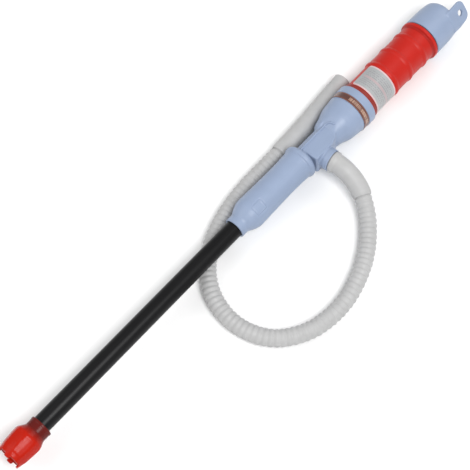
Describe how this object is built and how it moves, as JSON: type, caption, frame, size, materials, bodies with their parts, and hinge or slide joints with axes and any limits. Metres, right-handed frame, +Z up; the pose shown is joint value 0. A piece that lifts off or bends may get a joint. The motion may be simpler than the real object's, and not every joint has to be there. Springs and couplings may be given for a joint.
{
  "type": "fluid transfer pump",
  "caption": "Battery-driven fluid transfer pump: red inlet foot, black suction tube, blue body with a side spout and looped corrugated hose, red battery grip and screw cap.",
  "frame": {"origin": "middle of the underside of the pump itself (its hose left aside), on the surface that it lies on", "axes": "+X along the pump from the inlet foot towards the cap, +Z up from the surface, -Y towards the hose's loop. The pump's own axis dips 0.84 degrees towards the cap."},
  "size_m": [0.622, 0.1684, 0.0453],
  "materials": {
    "blue_plastic": "moulded pale blue plastic, satin, with a fine mould texture",
    "red_plastic": "moulded red plastic, satin",
    "foot_plastic": "glossy red plastic, slightly see-through",
    "black_tube": "extruded black plastic tube, satin, with fine lines along it",
    "hose_plastic": "cloudy white see-through hose plastic",
    "label_paper": "printed sticker with plain grey rows and a pale edge",
    "band_print": "printed dark band with a plain orange pattern",
    "rubber": "soft black rubber",
    "steel": "plated steel",
    "brass": "sheet brass, bright",
    "magnet": "dark ferrite and steel laminations",
    "carbon": "carbon brush",
    "white_plastic": "natural white nylon",
    "cell_jacket": "plain printed cell jacket",
    "wire_red": "red wire insulation",
    "wire_black": "black wire insulation"
  },
  "bodies": {
    "pump": {"suction_tube": "black_tube", "foot_housing": "foot_plastic", "intake_strainer": "foot_plastic", "foot_bearing": "white_plastic", "tube_bearing_1": "white_plastic", "tube_bearing_2": "white_plastic", "tube_bearing_3": "white_plastic", "tube_sleeve": "blue_plastic", "tube_oring": "rubber", "pump_body": "blue_plastic", "shaft_seal": "rubber", "seal_retainer": "steel", "motor_mount": "white_plastic", "motor_screw_1": "steel", "motor_screw_2": "steel", "motor_can": "steel", "motor_end_bell": "white_plastic", "motor_magnet_1": "magnet", "motor_magnet_2": "magnet", "motor_brush_1": "carbon", "motor_brush_2": "carbon", "motor_terminal_1": "brass", "motor_terminal_2": "brass", "trim_band": "band_print", "battery_case": "red_plastic", "instruction_label": "label_paper", "battery_contact": "brass", "contact_strip": "brass", "wire_positive": "wire_red", "wire_negative": "wire_black", "battery_lower": "cell_jacket", "battery_upper": "cell_jacket", "case_seal": "rubber", "hose_inlet_cuff": "hose_plastic", "outlet_hose": "hose_plastic", "hose_outlet_cuff": "hose_plastic"},
    "rotor": {"impeller": "white_plastic", "drive_shaft": "steel", "shaft_coupling": "white_plastic", "motor_shaft": "steel", "motor_armature": "magnet", "motor_commutator": "brass"},
    "cap_carrier": {"cap_contact": "brass", "cap_spring": "steel"},
    "cap": {"cap": "blue_plastic"}
  },
  "joints": [
    {"name": "rotor_spin", "type": "hinge", "parent": "pump", "child": "rotor", "pos_m": [0.00013, 0.00128, 0.02542], "axis": [0.9999, 0, -0.0147], "continuous": true},
    {"name": "cap_lift", "type": "slide", "parent": "pump", "child": "cap_carrier", "axis": [0.9999, 0, -0.0147], "range_m": [0, 0.012]},
    {"name": "cap_turn", "type": "hinge", "parent": "cap_carrier", "child": "cap", "pos_m": [0.2801, 0.00128, 0.02132], "axis": [0.9999, 0, -0.0147], "range_deg": [0, 720]}
  ],
  "couplings": [
    {"joint": "cap_lift", "follows": "cap_turn", "m_per_rad": 0.00095493}
  ]
}
